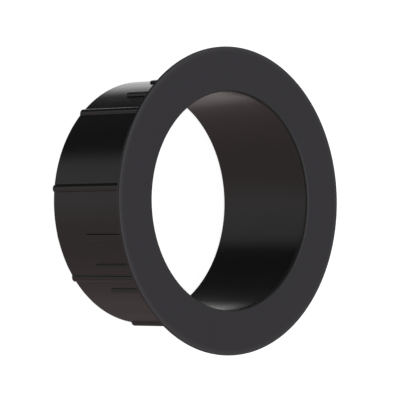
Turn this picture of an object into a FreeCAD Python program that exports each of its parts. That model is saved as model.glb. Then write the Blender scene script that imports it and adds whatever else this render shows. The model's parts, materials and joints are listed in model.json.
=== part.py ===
import FreeCAD, Part
import os

import Sketcher

# Toilet flange collar: a flat flange plate seated on a ribbed barrel that takes a 4 inch drain pipe.
# Frame: Z is the axis and points up out of the flange's face. The origin is on the axis, at the barrel's open end.

doc = FreeCAD.newDocument("toilet_flange")
sheet = doc.addObject("Spreadsheet::Sheet", "sizes")

# Every driving size: alias, value, meaning. Lengths are in millimetres and angles in degrees from +X.
sizes = [
    ("overall_depth", 63.5, "barrel's open end to the flange's face"),
    ("flange_diameter", 152.4, "outside of the plate"),
    ("plate_thickness", 3.0, "plate, face to underside"),
    ("rim_land", 1.5, "straight edge left at the rim"),
    ("rim_bevel", 4.0, "width of the bevel under the rim"),
    ("rim_round", 0.9, "round on the rim's upper edge"),
    ("mouth_round", 1.0, "round where the face turns into the opening"),
    ("pipe_diameter", 114.3, "outside of the drain pipe"),
    ("pipe_clearance", 0.2, "gap all round the pipe in its socket"),
    ("stop_width", 3.35, "how far the plate reaches in over the socket, to stop the pipe"),
    ("barrel_wall", 3.65, "thickness of the barrel's wall"),
    ("entry_chamfer", 0.8, "lead-in at the socket's open end"),
    ("end_round", 0.5, "round on the outside of the open end"),
    ("collar_width", 2.4, "how far the collar stands out from the barrel"),
    ("collar_height", 3.0, "collar, including what sits in the plate"),
    ("seat_depth", 1.0, "how deep the collar sits in the plate"),
    ("seat_clearance", 0.1, "gap beside the collar in its seat"),
    ("seat_shoulder", 1.2, "step inside the collar's top, under the plate, where the socket ends"),
    ("long_rib_radius", 1.9, "bead of a long rib"),
    ("long_rib_height", 1.6, "how far a long rib stands out"),
    ("long_rib_start", 0.0, "long ribs start this far above the open end"),
    ("short_rib_radius", 1.7, "bead of a short rib"),
    ("short_rib_height", 1.3, "how far a short rib stands out"),
    ("short_rib_start", 22.0, "short ribs start this far above the open end"),
]

# The ribs are not evenly spaced, and the pattern repeats after half a turn.
longRibAngles = [38.0, 83.0, 133.0, 173.5]
shortRibAngles = [16.5, 31.5, 46.5, 103.0, 119.5]
ribTurns = 2

for number, angle in enumerate(longRibAngles, start=1):
    sizes.append((f"long_rib_angle_{number}", angle, "place of a long rib round the barrel"))
for number, angle in enumerate(shortRibAngles, start=1):
    sizes.append((f"short_rib_angle_{number}", angle, "place of a short rib round the barrel"))

for row, (alias, value, meaning) in enumerate(sizes, start=1):
    sheet.set(f"A{row}", meaning)
    sheet.set(f"B{row}", str(value))
    sheet.setAlias(f"B{row}", alias)
doc.recompute()

# Radii and heights that more than one feature uses, as expressions on the sheet.
flangeRadius = "sizes.flange_diameter / 2"
socketRadius = "sizes.pipe_diameter / 2 + sizes.pipe_clearance"
openingRadius = f"{socketRadius} - sizes.stop_width"
barrelRadius = f"{socketRadius} + sizes.barrel_wall"
collarRadius = f"{barrelRadius} + sizes.collar_width"
shoulderRadius = f"{socketRadius} + sizes.seat_shoulder"
undersideHeight = "sizes.overall_depth - sizes.plate_thickness"
hubTop = f"{undersideHeight} + sizes.seat_depth"
collarBottom = f"{hubTop} - sizes.collar_height"


def newBody(label):
    body = doc.addObject("PartDesign::Body", label)
    body.Label = label
    return body


def originPlane(body, role):
    return next(item for item in body.Origin.OriginFeatures if item.Role == role)


def newSketch(body, name):
    # A sketch in the body's upright XZ plane: its x is a radius and its y is a height.
    sketch = body.newObject("Sketcher::SketchObject", name)
    sketch.AttachmentSupport = [(originPlane(body, "XZ_Plane"), "")]
    sketch.MapMode = "FlatFace"
    return sketch


def bindDistance(sketch, kind, point, expression):
    # Holds one point at a distance from the sketch's origin, along x or y.
    if expression == "0":
        axis = -1 if kind == "DistanceY" else -2
        sketch.addConstraint(Sketcher.Constraint("PointOnObject", *point, axis))
        return
    index = sketch.addConstraint(Sketcher.Constraint(kind, -1, 1, *point, 10.0))
    sketch.setExpression(f"Constraints[{index}]", expression)


def turnSection(body, name, corners):
    # Turns a closed section with straight sides about the body's Z axis.
    sketch = newSketch(body, f"{name}_section")
    count = len(corners)
    for index in range(count):
        start = FreeCAD.Vector(50 + index, 10 + index * index, 0)
        end = FreeCAD.Vector(51 + index, 11 + index * index + 2 * index, 0)
        sketch.addGeometry(Part.LineSegment(start, end), False)
    for index in range(count):
        following = (index + 1) % count
        sketch.addConstraint(Sketcher.Constraint("Coincident", index, 2, following, 1))
    for index, (radius, height) in enumerate(corners):
        bindDistance(sketch, "DistanceX", (index, 1), radius)
        bindDistance(sketch, "DistanceY", (index, 1), height)
    turn = body.newObject("PartDesign::Revolution", name)
    turn.Profile = sketch
    turn.ReferenceAxis = (sketch, ["V_Axis"])
    turn.Angle = 360.0
    doc.recompute()
    return turn


def circularEdge(feature, radius, height):
    # Finds the round edge with this radius at this height, in the body's own frame.
    for number, edge in enumerate(feature.Shape.Edges, start=1):
        curve = edge.Curve
        if not isinstance(curve, Part.Circle):
            continue
        if abs(curve.Radius - radius) < 1e-4 and abs(curve.Center.z - height) < 1e-4:
            return f"Edge{number}"
    raise RuntimeError(f"{feature.Label} has no round edge of radius {radius} at {height}")


def roundEdge(body, name, base, radius, height, alias):
    fillet = body.newObject("PartDesign::Fillet", name)
    fillet.Base = (base, [circularEdge(base, radius, height)])
    fillet.setExpression("Radius", f"sizes.{alias}")
    doc.recompute()
    return fillet


def addBead(body, name, kind, angleAlias):
    # A rib is a round bead half sunk in the barrel, with a round toe, and runs up into the collar.
    beadRadius = f"sizes.{kind}_rib_radius"
    beadCircle = f"({barrelRadius} + sizes.{kind}_rib_height - {beadRadius})"
    toeCentre = f"sizes.{kind}_rib_start + {beadRadius}"
    beadTop = f"{collarBottom} + sizes.collar_height / 2"
    sketch = newSketch(body, f"{name}_section")
    sketch.setExpression("AttachmentOffset.Base.x", f"{beadCircle} * cos(sizes.{angleAlias})")
    sketch.setExpression("AttachmentOffset.Base.z", f"-{beadCircle} * sin(sizes.{angleAlias})")
    top = FreeCAD.Vector(0, 60, 0)
    toe = FreeCAD.Vector(0, 8, 0)
    centre = FreeCAD.Vector(0, 10, 0)
    side = FreeCAD.Vector(2, 10, 0)
    topSide = FreeCAD.Vector(2, 60, 0)
    sketch.addGeometry(Part.LineSegment(top, toe), False)
    circle = Part.Circle(centre, FreeCAD.Vector(0, 0, 1), 2)
    sketch.addGeometry(Part.ArcOfCircle(circle, -1.5707963, 0.0), False)
    sketch.addGeometry(Part.LineSegment(side, topSide), False)
    sketch.addGeometry(Part.LineSegment(topSide, top), False)
    for first, second in ((0, 1), (1, 2), (2, 3), (3, 0)):
        sketch.addConstraint(Sketcher.Constraint("Coincident", first, 2, second, 1))
    sketch.addConstraint(Sketcher.Constraint("PointOnObject", 0, 1, -2))
    sketch.addConstraint(Sketcher.Constraint("PointOnObject", 0, 2, -2))
    sketch.addConstraint(Sketcher.Constraint("PointOnObject", 1, 3, -2))
    sketch.addConstraint(Sketcher.Constraint("Horizontal", 1, 3, 1, 2))
    sketch.addConstraint(Sketcher.Constraint("Vertical", 2))
    sketch.addConstraint(Sketcher.Constraint("Horizontal", 3))
    radiusIndex = sketch.addConstraint(Sketcher.Constraint("Radius", 1, 2.0))
    sketch.setExpression(f"Constraints[{radiusIndex}]", beadRadius)
    bindDistance(sketch, "DistanceY", (1, 3), toeCentre)
    bindDistance(sketch, "DistanceY", (0, 1), beadTop)
    bead = body.newObject("PartDesign::Revolution", name)
    bead.Profile = sketch
    bead.ReferenceAxis = (sketch, ["V_Axis"])
    bead.Angle = 360.0
    doc.recompute()
    return bead


def buildFlangeRing():
    # The plate is drawn with its underside at its own zero height, then lifted onto the barrel.
    body = newBody("flange_ring")
    body.setExpression("Placement.Base.z", undersideHeight)
    seatInside = f"{shoulderRadius} - sizes.seat_clearance"
    seatOutside = f"{collarRadius} + sizes.seat_clearance"
    plate = turnSection(body, "plate", [
        (openingRadius, "0"),
        (seatInside, "0"),
        (seatInside, "sizes.seat_depth"),
        (seatOutside, "sizes.seat_depth"),
        (seatOutside, "0"),
        (f"{flangeRadius} - sizes.rim_bevel", "0"),
        (flangeRadius, "sizes.plate_thickness - sizes.rim_land"),
        (flangeRadius, "sizes.plate_thickness"),
        (openingRadius, "sizes.plate_thickness"),
    ])
    faceHeight = sheet.plate_thickness
    opening = sheet.pipe_diameter / 2 + sheet.pipe_clearance - sheet.stop_width
    mouth = roundEdge(body, "mouth_round", plate, opening, faceHeight, "mouth_round")
    rim = roundEdge(body, "rim_round", mouth, sheet.flange_diameter / 2, faceHeight, "rim_round")
    body.Tip = rim
    return body


def buildRibbedHub():
    body = newBody("ribbed_hub")
    barrel = turnSection(body, "barrel", [
        (f"{socketRadius} + sizes.entry_chamfer", "0"),
        (barrelRadius, "0"),
        (barrelRadius, collarBottom),
        (collarRadius, collarBottom),
        (collarRadius, hubTop),
        (shoulderRadius, hubTop),
        (shoulderRadius, undersideHeight),
        (socketRadius, undersideHeight),
        (socketRadius, "sizes.entry_chamfer"),
    ])
    barrelOutside = sheet.pipe_diameter / 2 + sheet.pipe_clearance + sheet.barrel_wall
    roundEdge(body, "open_end_round", barrel, barrelOutside, 0.0, "end_round")
    beads = []
    for kind, angles in (("long", longRibAngles), ("short", shortRibAngles)):
        for number in range(1, len(angles) + 1):
            beads.append(addBead(body, f"{kind}_rib_{number}", kind, f"{kind}_rib_angle_{number}"))
    opposite = body.newObject("PartDesign::PolarPattern", "opposite_ribs")
    opposite.Originals = beads
    opposite.Axis = (originPlane(body, "Z_Axis"), [""])
    opposite.Angle = 360.0
    opposite.Occurrences = ribTurns
    body.Tip = opposite
    doc.recompute()
    if opposite.Shape.Volume <= beads[-1].Shape.Volume:
        raise RuntimeError("the half-turn pattern added no ribs")
    return body


def checkDocument(bodies):
    for item in doc.Objects:
        if "Invalid" in item.State or "Error" in item.State:
            raise RuntimeError(f"{item.Label} failed: {item.State}")
    for body in bodies:
        shape = body.Shape
        if shape.isNull() or not shape.isValid():
            raise RuntimeError(f"{body.Label} is not a valid solid")
        if len(shape.Solids) != 1:
            raise RuntimeError(f"{body.Label} has {len(shape.Solids)} solids")


parts = [buildFlangeRing(), buildRibbedHub()]
doc.recompute()
checkDocument(parts)

os.makedirs("parts", exist_ok=True)
for part in parts:
    part.Shape.exportStep(f"parts/{part.Label}.step")
    box = part.Shape.BoundBox
    print(part.Label, "volume", round(part.Shape.Volume), "mm3, height", round(box.ZMin, 3), "to", round(box.ZMax, 3))
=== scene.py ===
import json
import math

import bpy
import numpy as np
from mathutils import Matrix, Vector


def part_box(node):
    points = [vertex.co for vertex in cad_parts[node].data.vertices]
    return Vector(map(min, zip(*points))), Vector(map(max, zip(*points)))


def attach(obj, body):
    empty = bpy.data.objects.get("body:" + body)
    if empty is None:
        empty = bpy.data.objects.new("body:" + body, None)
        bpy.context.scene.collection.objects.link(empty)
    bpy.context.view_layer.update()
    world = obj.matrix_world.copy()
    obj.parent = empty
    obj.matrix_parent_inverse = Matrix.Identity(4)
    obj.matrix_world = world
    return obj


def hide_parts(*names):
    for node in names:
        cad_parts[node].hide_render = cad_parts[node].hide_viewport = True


# Toilet flange: a matte plate on a glossy ribbed barrel, standing on the barrel's open end.
# Z is the axis and points out of the plate's face.
# The two pieces' sizes are in millimetres and degrees; the studio and the camera are in metres.

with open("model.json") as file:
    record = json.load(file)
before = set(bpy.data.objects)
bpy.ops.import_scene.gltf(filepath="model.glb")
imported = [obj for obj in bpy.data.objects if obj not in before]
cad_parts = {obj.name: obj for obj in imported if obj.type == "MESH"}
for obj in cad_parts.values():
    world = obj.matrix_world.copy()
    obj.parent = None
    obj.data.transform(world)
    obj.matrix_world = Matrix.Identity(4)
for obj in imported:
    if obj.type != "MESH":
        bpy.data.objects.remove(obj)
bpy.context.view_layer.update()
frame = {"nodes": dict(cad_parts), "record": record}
mounts = {mount["name"]: mount for mount in frame["record"]["mounts"]}
socketRadius = mounts["pipe_socket"]["dims"]["r_mm"]
openingRadius = mounts["flange_opening"]["dims"]["r_mm"]
print("frame loaded:", sorted(frame["nodes"]))


perMetre = 1000
hair = 0.01     # a difference in radius or height that is too small to count


def boxSizes(node):
    # outer radius, lowest and highest level of a turned CAD node, in millimetres
    low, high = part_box(node)
    return max(high.x, -low.x) * perMetre, low.z * perMetre, high.z * perMetre


def softSection(corners, steps, support=0.12, room=2.5):
    # closed section of (radius, height, edge) points from (radius, height, rounding) corners;
    # edge is 1 on a rounding, and a support point stands beside it where the run has room for one
    points = []
    for index, (radius, height, rounding) in enumerate(corners):
        corner = Vector((radius, height))
        before = Vector(corners[index - 1][:2]) - corner
        after = Vector(corners[(index + 1) % len(corners)][:2]) - corner
        half = before.angle(after) / 2
        setback = rounding / math.tan(half)
        centre = corner + (before.normalized() + after.normalized()).normalized() * rounding / math.sin(half)
        first = corner + before.normalized() * setback
        last = corner + after.normalized() * setback
        if before.length > room * (setback + support):
            points.append((*(first + before.normalized() * support), 0.0))
        start = first - centre
        sweep = start.angle_signed(last - centre)
        for step in range(steps + 1):
            turned = start.copy()
            turned.rotate(Matrix.Rotation(-sweep * step / steps, 2))
            points.append((*(centre + turned), 1.0))
        if after.length > room * (setback + support):
            points.append((*(last + after.normalized() * support), 0.0))
    return points


def fillRuns(points, stepAt, leftOver=0.6):
    # adds points along the straight runs, as close as stepAt(radius, height) asks,
    # and stops where less than the leftOver share of a step would remain
    filled = []
    for index, point in enumerate(points):
        following = points[(index + 1) % len(points)]
        filled.append(point)
        start = Vector(point[:2])
        run = Vector(following[:2]) - start
        along = 0.0
        while True:
            here = start + run.normalized() * along
            along += stepAt(here.x, here.y)
            if along > run.length - leftOver * stepAt(here.x, here.y):
                break
            filled.append((*(start + run.normalized() * along), 0.0))
    return filled


def turnPiece(name, points, angles, reach, finishes, finishOf):
    # turns a closed section into a closed ring; reach(angle, radius, height) gives the radius at that angle
    radii = np.array([p[0] for p in points])
    heights = np.array([p[1] for p in points])
    edges = np.array([p[2] for p in points])
    turns = np.radians(np.array(angles))
    placed = np.array([reach(angle, radii, heights) for angle in angles])
    across = len(points)
    around = len(angles)
    places = np.empty((around, across, 3))
    places[:, :, 0] = placed * np.cos(turns)[:, None]
    places[:, :, 1] = placed * np.sin(turns)[:, None]
    places[:, :, 2] = heights[None, :]
    faces = []
    kinds = []
    for turn in range(around):
        following = (turn + 1) % around
        for step in range(across):
            nextStep = (step + 1) % across
            faces.append((
                turn * across + step,
                following * across + step,
                following * across + nextStep,
                turn * across + nextStep,
            ))
            kinds.append(finishOf(step, nextStep))
    mesh = bpy.data.meshes.new(name)
    mesh.from_pydata((places.reshape(-1, 3) / perMetre).tolist(), [], faces)
    for finish in finishes:
        mesh.materials.append(finish)
    mesh.polygons.foreach_set("material_index", kinds)
    mesh.polygons.foreach_set("use_smooth", [True] * len(faces))
    # the edge mask marks where a pale colour is painted on the roundings: partly wear, partly painted
    # highlight
    wearAndHighlightMask = mesh.attributes.new("edgeWearAndHighlight", "FLOAT", "POINT")
    wearAndHighlightMask.data.foreach_set("value", np.tile(edges, around).astype(np.float32))
    mesh.update()
    piece = bpy.data.objects.new(name, mesh)
    bpy.context.scene.collection.objects.link(piece)
    return piece


def addNode(tree, kind, **values):
    node = tree.nodes.new(kind)
    for key, value in values.items():
        if hasattr(node, key):
            setattr(node, key, value)
        else:
            node.inputs[key].default_value = value
    return node


def addNoise(tree, source, scale, detail, roughness=0.5):
    node = addNode(tree, "ShaderNodeTexNoise", Scale=scale, Detail=detail, Roughness=roughness)
    tree.links.new(source, node.inputs["Vector"])
    return node.outputs["Fac"]


def addRange(tree, source, low, high, fromLow=0.3, fromHigh=0.7):
    node = tree.nodes.new("ShaderNodeMapRange")
    node.inputs["From Min"].default_value = fromLow
    node.inputs["From Max"].default_value = fromHigh
    node.inputs["To Min"].default_value = low
    node.inputs["To Max"].default_value = high
    tree.links.new(source, node.inputs["Value"])
    return node.outputs["Result"]


def addMix(tree, factor, first, second):
    # a colour Mix node has its factor at 0, its two colours at 6 and 7, and its result at 2
    node = addNode(tree, "ShaderNodeMix", data_type="RGBA")
    for socket, value in ((node.inputs[6], first), (node.inputs[7], second)):
        if isinstance(value, bpy.types.NodeSocket):
            tree.links.new(value, socket)
        else:
            socket.default_value = (*value, 1)
    tree.links.new(factor, node.inputs[0])
    return node.outputs[2]


def addBump(tree, height, strength, distance, below=None):
    node = addNode(tree, "ShaderNodeBump", Strength=strength, Distance=distance)
    tree.links.new(height, node.inputs["Height"])
    if below is not None:
        tree.links.new(below, node.inputs["Normal"])
    return node.outputs["Normal"]


def newFinish(name, ior, specular):
    finish = bpy.data.materials.new(name)
    finish.use_nodes = True
    tree = finish.node_tree
    shader = tree.nodes["Principled BSDF"]
    shader.inputs["IOR"].default_value = ior
    shader.inputs["Specular IOR Level"].default_value = specular
    place = tree.nodes.new("ShaderNodeTexCoord").outputs["Object"]
    # the edge mask for the pale edges, partly wear and partly painted highlight
    wearAndHighlightMask = addNode(tree, "ShaderNodeAttribute", attribute_name="edgeWearAndHighlight").outputs["Fac"]
    return finish, tree, shader, place, wearAndHighlightMask


def makeSparkCharcoal(look):
    # fine spark-eroded texture on the plate's face
    finish, tree, shader, place, wearAndHighlightMask = newFinish("spark_charcoal", look["ior"], look["specular"])
    grain = addNoise(tree, place, look["grainScale"], 3.0, 0.6)
    patches = addNoise(tree, place, look["patchScale"], 3.0)
    cells = addNode(tree, "ShaderNodeTexVoronoi", Scale=look["cellScale"], feature="SMOOTH_F1")
    tree.links.new(place, cells.inputs["Vector"])
    tone = addMix(tree, addRange(tree, patches, 0.0, 1.0), look["dark"], look["light"])
    speckled = addMix(tree, addRange(tree, grain, 0.0, look["speckShare"]), tone, look["speck"])
    # painted highlight: the roundings are painted pale with the edge colour, partly as wear, and the band by
    # the rim as painted light
    wornAndHighlighted = addMix(tree, addRange(tree, wearAndHighlightMask, 0.0, look["edgeShare"], 0.0, 1.0), speckled, look["edge"])
    tree.links.new(wornAndHighlighted, shader.inputs["Base Color"])
    tree.links.new(addRange(tree, grain, look["smooth"], look["rough"]), shader.inputs["Roughness"])
    coarse = addBump(tree, cells.outputs["Distance"], look["grainDepth"], look["cellHeight"])
    fine = addBump(tree, grain, look["grainDepth"], look["grainHeight"], coarse)
    tree.links.new(fine, shader.inputs["Normal"])
    return finish


def makeGlossBlack(name, look):
    # polished tool finish, with faint draw marks along the axis where it left the mould
    finish, tree, shader, place, wearAndHighlightMask = newFinish(name, look["ior"], look["specular"])
    stretch = addNode(tree, "ShaderNodeMapping")
    stretch.inputs["Scale"].default_value = (1.0, 1.0, look["markStretch"])
    tree.links.new(place, stretch.inputs["Vector"])
    drawMarks = addNoise(tree, stretch.outputs["Vector"], look["markScale"], 4.0, 0.6)
    waves = addNoise(tree, place, look["waveScale"], 1.0)
    dust = addNoise(tree, place, look["dustScale"], 2.0, 0.7)
    tone = addMix(tree, addRange(tree, waves, 0.0, 1.0), look["dark"], look["light"])
    dustFrom, dustTo = look["dustRange"]
    dusted = addMix(tree, addRange(tree, dust, 0.0, look["dustShare"], dustFrom, dustTo), tone, look["dust"])
    # painted highlight: the roundings take the pale dust colour, partly as dust and partly as a painted
    # highlight
    wornAndHighlighted = addMix(tree, addRange(tree, wearAndHighlightMask, 0.0, look["edgeShare"], 0.0, 1.0), dusted, look["dust"])
    tree.links.new(wornAndHighlighted, shader.inputs["Base Color"])
    tree.links.new(addRange(tree, drawMarks, look["smooth"], look["rough"]), shader.inputs["Roughness"])
    peel = addBump(tree, waves, look["waviness"], look["waveHeight"])
    drawn = addBump(tree, drawMarks, look["markDepth"], look["markHeight"], peel)
    tree.links.new(drawn, shader.inputs["Normal"])
    return finish


# what both polished finishes share: noise sizes, and bump heights in metres
drawnTool = {
    "ior": 1.5,
    "markScale": 900.0,
    "markStretch": 0.04,        # draw marks run this much longer along the axis
    "markHeight": 0.00001,
    "waveScale": 90.0,
    "waveHeight": 0.0001,
    "dustScale": 2200.0,
    "dustRange": (0.6, 0.8),
}
finishLooks = {
    "face": {
        "dark": (0.0152, 0.0119, 0.0186),
        "light": (0.0188, 0.0154, 0.0226),
        "speck": (0.026, 0.023, 0.029),
        # edge: pale colour painted on the roundings, a painted highlight with some wear, and on the band by
        # the rim
        "edge": (0.060, 0.056, 0.062),
        "speckShare": 0.35,
        "edgeShare": 0.6,
        "ior": 1.5,
        "specular": 0.5,
        "smooth": 0.46,
        "rough": 0.58,
        "patchScale": 35.0,
        "grainScale": 2600.0,
        "cellScale": 1560.0,
        "grainDepth": 0.3,
        "grainHeight": 0.00004,     # metres
        "cellHeight": 0.00005,
    },
    "barrel": {
        "dark": (0.0058, 0.0053, 0.0053),
        "light": (0.0078, 0.0070, 0.0070),
        "dust": (0.030, 0.028, 0.027),
        "dustShare": 0.25,
        "edgeShare": 0.3,
        "specular": 0.5,
        "smooth": 0.15,
        "rough": 0.24,
        "waviness": 0.05,
        "markDepth": 0.15,
        **drawnTool,
    },
    "trim": {
        "dark": (0.0065, 0.0060, 0.0062),
        "light": (0.0085, 0.0080, 0.0082),
        "dust": (0.032, 0.030, 0.030),
        "dustShare": 0.15,
        # the dust colour on the trim's roundings is also a painted highlight along the mouth
        "edgeShare": 0.3,
        "specular": 0.5,
        "smooth": 0.22,
        "rough": 0.32,
        "waviness": 0.04,
        "markDepth": 0.1,
        **drawnTool,
    },
}
sparkCharcoal = makeSparkCharcoal(finishLooks["face"])
glossBlack = makeGlossBlack("gloss_black", finishLooks["barrel"])
polishedTrim = makeGlossBlack("polished_trim", finishLooks["trim"])
print("finishes made")


plateShape = {
    "rimLand": 1.5,         # straight edge at the rim
    "rimBevel": 4.0,        # width of the bevel under the rim
    "rimRound": 0.9,
    "bevelRound": 0.6,
    "edgeRound": 0.15,      # the other corners of the rim and of the underside
    "mouthRound": 1.0,
    "mouthLine": 0.35,      # depth of the fine line just inside the mouth
    "lineHalf": 0.2,        # half the line's width, and its distance below the rounding
    "lineRounds": (0.03, 0.05, 0.03),
    "seatInside": 58.45,    # round seat under the plate, for the barrel's collar
    "seatOutside": 63.5,
    "seatDepth": 1.0,
    "seatRound": 0.08,
    "crown": 0.06,          # the face falls away this much towards the rim
    "crownWidth": 10.0,
    "rimHighlightWidth": 3.0,        # the face is painted paler this far in from the rim, a painted highlight
    "grainShare": 0.8,      # the texture starts this far across the mouth's rounding
    "roundSteps": 7,
    "faceStep": 0.5,        # distance between points on the face, and elsewhere
    "plainStep": 3.0,
    "turns": 480,
}


def makePlate(shape):
    rim, underside, face = boxSizes("flange_ring")
    seatTop = underside + shape["seatDepth"]
    seatRound = shape["seatRound"]
    lineHalf = shape["lineHalf"]
    mouthFoot = face - shape["mouthRound"]
    topRound, deepRound, lowRound = shape["lineRounds"]
    corners = [
        (openingRadius, underside, shape["edgeRound"]),
        (shape["seatInside"], underside, seatRound),
        (shape["seatInside"], seatTop, seatRound),
        (shape["seatOutside"], seatTop, seatRound),
        (shape["seatOutside"], underside, seatRound),
        (rim - shape["rimBevel"], underside, shape["bevelRound"]),
        (rim, face - shape["rimLand"], shape["edgeRound"]),
        (rim, face, shape["rimRound"]),
        (openingRadius, face, shape["mouthRound"]),
        (openingRadius, mouthFoot - lineHalf, topRound),
        (openingRadius + shape["mouthLine"], mouthFoot - 2 * lineHalf, deepRound),
        (openingRadius, mouthFoot - 3 * lineHalf, lowRound),
    ]

    def stepAt(radius, height):
        return shape["faceStep"] if height > face - hair else shape["plainStep"]

    points = fillRuns(softSection(corners, shape["roundSteps"]), stepAt)
    crowned = []
    for radius, height, edge in points:
        share = min(max((radius - rim + shape["crownWidth"]) / shape["crownWidth"], 0.0), 1.0)
        lift = max((height - underside) / (face - underside), 0.0)
        # painted highlight: the face is painted paler towards the rim
        if height > face - hair:
            edge = max(edge, 1.0 - (rim - radius) / shape["rimHighlightWidth"])
        crowned.append((radius, height - shape["crown"] * share ** 2 * lift, edge))
    lowestGrain = face - shape["crown"] - shape["rimRound"] / 2
    firstGrain = openingRadius + shape["grainShare"] * shape["mouthRound"]
    textured = [height > lowestGrain and radius > firstGrain for radius, height, edge in crowned]
    angles = [360.0 * turn / shape["turns"] for turn in range(shape["turns"])]
    return turnPiece(
        "flangePlate", crowned, angles,
        lambda angle, radii, heights: radii,
        [sparkCharcoal, polishedTrim],
        lambda step, following: 0 if textured[step] and textured[following] else 1,
    )


flangePlate = makePlate(plateShape)
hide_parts("flange_ring")
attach(flangePlate, "root")
print("plate made:", len(flangePlate.data.vertices), "points")


barrelShape = {
    "wall": 3.65,
    "entryChamfer": 0.8,
    "chamferRounds": (0.12, 0.15),  # at the open end and inside the bore
    "endRound": 0.5,
    "collarHeight": 3.0,
    "collarRounds": (0.35, 0.3, 0.1),   # where it meets the wall, its lower edge, its top edge
    "shoulder": 1.2,
    "shoulderRound": 0.1,
    "seatDepth": 1.0,
    "seatRound": 0.08,
    # square: 2 is a round bead; root: soft fillet beside a rib; toe: how far its end takes to rise;
    # blunt: 1 is a straight ramp up the toe, and more is steeper at its foot
    "longRibs": {
        "bead": 1.9, "height": 1.6, "square": 2.1, "root": 0.6,
        "start": 0.0, "toe": 1.2, "blunt": 3.0, "angles": (38, 83, 133, 173.5),
    },
    "shortRibs": {
        "bead": 1.7, "height": 1.3, "square": 5.0, "root": 0.2,
        "start": 22.0, "toe": 0.4, "blunt": 3.0, "angles": (16.5, 31.5, 46.5, 103, 119.5),
    },
    "sideFall": 3.0,        # how steeply a rib's flank goes on down, inside the wall
    "roundSteps": 4,
    "boreStep": 4.0,        # distance between points up the bore, the wall and the collar
    "wallStep": 2.5,
    "collarStep": 0.6,
    "toeSteps": 6,
    "toeMargin": 0.3,       # the toe's fine steps reach this far past it at both ends
    "turns": 240,           # plain steps round the wall
    "ribSpan": 4.5,         # degrees of finer steps over each rib
    "ribStep": 0.15,        # degrees between those
}
farFromRib = 20     # degrees; beyond this a rib's flank is level


def ribPlaces(ribs):
    return [angle + half for half in (0, 180) for angle in ribs["angles"]]


def ribReach(ribs, outside, sideFall, angle, heights):
    # how far out the nearest rib stands at this angle, for every height
    bead = ribs["bead"]
    square = ribs["square"]
    centre = outside + ribs["height"] - bead
    apart = min(abs((angle - place + 180) % 360 - 180) for place in ribPlaces(ribs))
    beside = centre * math.sin(math.radians(min(apart, farFromRib)))
    crest = max(bead ** square - beside ** square, 0.0) ** (1 / square) - sideFall * max(beside - bead, 0.0)
    standing = centre * math.cos(math.radians(apart)) + crest - outside
    rise = 1 - (1 - np.clip((heights - ribs["start"]) / ribs["toe"], 0.0, 1.0)) ** ribs["blunt"]
    return outside + (standing * rise if standing > 0 else standing) - (1 - rise) * ribs["root"]


def softLarger(first, second, blend):
    # the larger of the two, with a soft fillet where they are within blend of each other
    near = np.maximum(blend - np.abs(first - second), 0.0) / blend
    return np.maximum(first, second) + near ** 2 * blend / 4


def makeBarrel(shape):
    collar, openEnd, top = boxSizes("ribbed_hub")
    ribKinds = (shape["longRibs"], shape["shortRibs"])
    wallDepth = 0.2     # deeper than this below the outside is no longer the wall's surface
    landing = 0.05
    outside = socketRadius + shape["wall"]
    collarBottom = top - shape["collarHeight"]
    shoulderRadius = socketRadius + shape["shoulder"]
    shoulderFoot = top - shape["seatDepth"]
    entryRound, chamferRound = shape["chamferRounds"]
    footRound, lowerRound, upperRound = shape["collarRounds"]
    corners = [
        (socketRadius + shape["entryChamfer"], openEnd, entryRound),
        (outside, openEnd, shape["endRound"]),
        (outside, collarBottom, footRound),
        (collar, collarBottom, lowerRound),
        (collar, top, upperRound),
        (shoulderRadius, top, shape["shoulderRound"]),
        (shoulderRadius, shoulderFoot, shape["seatRound"]),
        (socketRadius, shoulderFoot, shape["seatRound"]),
        (socketRadius, openEnd + shape["entryChamfer"], chamferRound),
    ]

    def stepAt(radius, height):
        # up the wall, a coarse step is cut short so that it lands just inside the margin below a rib's toe
        if radius < outside - wallDepth:
            return shape["boreStep"]
        step = shape["wallStep"] if height < collarBottom else shape["collarStep"]
        for ribs in ribKinds:
            below = ribs["start"] - shape["toeMargin"] - height
            if below > 0:
                step = min(step, below + landing)
            elif height < ribs["start"] + ribs["toe"] + shape["toeMargin"]:
                step = ribs["toe"] / shape["toeSteps"]
        return step

    points = fillRuns(softSection(corners, shape["roundSteps"]), stepAt)

    def reach(angle, radii, heights):
        # ribs stand on the wall's outside only, and never past the collar
        ribbed = radii
        for ribs in ribKinds:
            standing = ribReach(ribs, outside, shape["sideFall"], angle, heights)
            ribbed = softLarger(ribbed, standing, ribs["root"])
        onWall = (radii > outside - shape["endRound"] - hair) & (heights < collarBottom + hair)
        return np.where(onWall, np.minimum(np.maximum(ribbed, radii), collar), radii)

    angles = {360.0 * turn / shape["turns"] for turn in range(shape["turns"])}
    halfRib = int(shape["ribSpan"] / 2 / shape["ribStep"])
    for ribs in ribKinds:
        for place in ribPlaces(ribs):
            angles |= {(place + step * shape["ribStep"]) % 360 for step in range(-halfRib, halfRib + 1)}
    kept = []       # two angles that nearly meet leave only the first
    for angle in sorted(angles):
        if not kept or angle - kept[-1] > shape["ribStep"] / 3:
            kept.append(angle)
    return turnPiece("ribbedBarrel", points, kept, reach, [glossBlack], lambda step, following: 0)


ribbedBarrel = makeBarrel(barrelShape)
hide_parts("ribbed_hub")
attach(ribbedBarrel, "root")
print("barrel made:", len(ribbedBarrel.data.vertices), "points")


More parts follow.
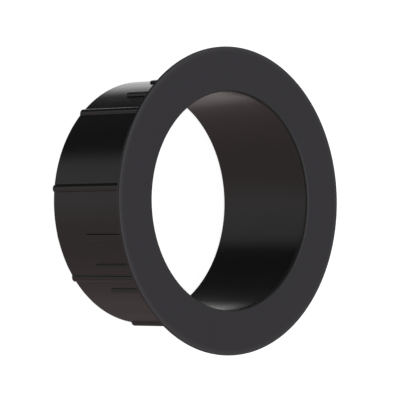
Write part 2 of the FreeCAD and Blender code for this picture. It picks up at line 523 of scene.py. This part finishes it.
studio = {
    "floorSize": 6.0,
    "floorLevel": -0.0003,
    "floorGlow": 0.90,
    "floorWhite": 0.45,
    "floorRough": 0.9,
    # softboxes and dark gaps round the object, low down: direction in degrees, brightness, warmth
    "lowSky": (
        (0, 1.05, 0), (37, 1.05, 0), (59, 0.09, 0), (88, 0.06, 0), (126, 0.06, 0), (148, 0.47, 0),
        (176, 0.57, 0.05), (190, 0.52, 0.11), (205, 0.46, 0.17), (235, 0.43, 0.2),
        (285, 0.36, 0.2), (314, 0.20, 0.2), (338, 0.09, 0.1), (352, 0.95, 0),
    ),
    "skyOverhead": 1.7,
    "skySides": 0.47,
    "overheadFrom": 0.84,       # upward share of the direction where the overhead grey starts to brighten
    "fade": (-0.35, 0.1),       # and between which the low sky gives way to the grey
    "bounce": {
        "place": (0.135, -0.022, -0.113), "aim": (0.015, 0.055, 0.03), "size": 0.14, "power": 0.030,
        "colour": (1.0, 0.93, 0.90),
    },
}


def makeFloor(settings):
    half = settings["floorSize"] / 2
    level = settings["floorLevel"]
    corners = [(-half, -half, level), (half, -half, level), (half, half, level), (-half, half, level)]
    mesh = bpy.data.meshes.new("floor")
    mesh.from_pydata(corners, [], [(0, 1, 2, 3)])
    floor = bpy.data.objects.new("floor", mesh)
    bpy.context.scene.collection.objects.link(floor)
    pale = bpy.data.materials.new("pale_floor")
    pale.use_nodes = True
    shader = pale.node_tree.nodes["Principled BSDF"]
    shader.inputs["Base Color"].default_value = (settings["floorWhite"],) * 3 + (1,)
    shader.inputs["Roughness"].default_value = settings["floorRough"]
    shader.inputs["Specular IOR Level"].default_value = 0.0
    shader.inputs["Emission Color"].default_value = (1, 1, 1, 1)
    shader.inputs["Emission Strength"].default_value = settings["floorGlow"]
    mesh.materials.append(pale)
    floor.visible_glossy = False
    floor.visible_diffuse = False
    floor.visible_shadow = False


def makeSky(settings):
    # white behind everything; softboxes low down and an even grey overhead for light and reflections
    world = bpy.data.worlds.new("softStudio")
    bpy.context.scene.world = world
    world.use_nodes = True
    tree = world.node_tree
    tree.nodes.clear()
    way = tree.nodes.new("ShaderNodeTexCoord").outputs["Generated"]
    split = tree.nodes.new("ShaderNodeSeparateXYZ")
    tree.links.new(way, split.inputs[0])
    heading = addNode(tree, "ShaderNodeMath", operation="ARCTAN2")
    tree.links.new(split.outputs["Y"], heading.inputs[0])
    tree.links.new(split.outputs["X"], heading.inputs[1])
    share = addNode(tree, "ShaderNodeMath", operation="MULTIPLY")
    share.inputs[1].default_value = 1 / math.tau
    tree.links.new(heading.outputs[0], share.inputs[0])
    wrapped = addNode(tree, "ShaderNodeMath", operation="FRACT")
    tree.links.new(share.outputs[0], wrapped.inputs[0])
    bands = tree.nodes.new("ShaderNodeValToRGB")
    tree.links.new(wrapped.outputs[0], bands.inputs["Fac"])
    stops = bands.color_ramp.elements
    bands.color_ramp.interpolation = "EASE"
    while len(stops) > 1:
        stops.remove(stops[0])
    for number, (degrees, brightness, warmth) in enumerate(settings["lowSky"]):
        stop = stops[0] if number == 0 else stops.new(degrees / 360)
        stop.position = degrees / 360
        stop.color = (brightness, brightness * (1 - warmth), brightness * (1 - warmth), 1)
    rise = split.outputs["Z"]
    sides, top = settings["skySides"], settings["skyOverhead"]
    overhead = addRange(tree, rise, sides, top, settings["overheadFrom"], 1.0)
    upper = addRange(tree, rise, 0.0, 1.0, *settings["fade"])
    sky = addMix(tree, upper, bands.outputs["Color"], overhead)
    seen = tree.nodes.new("ShaderNodeLightPath").outputs["Is Camera Ray"]
    shown = addMix(tree, seen, sky, (1.0, 1.0, 1.0))
    glow = tree.nodes.new("ShaderNodeBackground")
    tree.links.new(shown, glow.inputs["Color"])
    tree.links.new(glow.outputs[0], tree.nodes.new("ShaderNodeOutputWorld").inputs["Surface"])


def makeBounce(settings):
    # small soft lamp that lifts the far wall of the bore
    bounce = bpy.data.lights.new("bounce", "AREA")
    bounce.size = settings["size"]
    bounce.energy = settings["power"]
    bounce.color = settings["colour"]
    holder = bpy.data.objects.new("bounce", bounce)
    bpy.context.scene.collection.objects.link(holder)
    away = Vector(settings["place"]) - Vector(settings["aim"])
    turned = away.to_track_quat("Z", "Y").to_matrix().to_4x4()
    holder.matrix_world = Matrix.Translation(settings["place"]) @ turned


cameraView = {
    "aim": (0.0219, 0.0010, 0.0189),
    "towards": (-0.70136, -0.00912, 0.71275),
    "distance": 1.7720,
    "upright": (0.0, 1.0, 0.0128),
    "lens": 315.0,
    "sensor": 36.0,
    "farthest": 50.0,
}


def makeCamera(view):
    back = Vector(view["towards"]).normalized()
    right = Vector(view["upright"]).cross(back).normalized()
    up = back.cross(right)
    place = Vector(view["aim"]) + back * view["distance"]
    turned = Matrix((right, up, back)).transposed().to_4x4()
    camera = bpy.data.cameras.new("camera")
    camera.lens = view["lens"]
    camera.sensor_width = view["sensor"]
    camera.clip_end = view["farthest"]
    holder = bpy.data.objects.new("camera", camera)
    bpy.context.scene.collection.objects.link(holder)
    holder.matrix_world = Matrix.Translation(place) @ turned
    bpy.context.scene.camera = holder


makeFloor(studio)
makeSky(studio)
makeBounce(studio["bounce"])
makeCamera(cameraView)
bpy.context.scene.view_settings.view_transform = "Standard"
print("floor, light and camera placed")
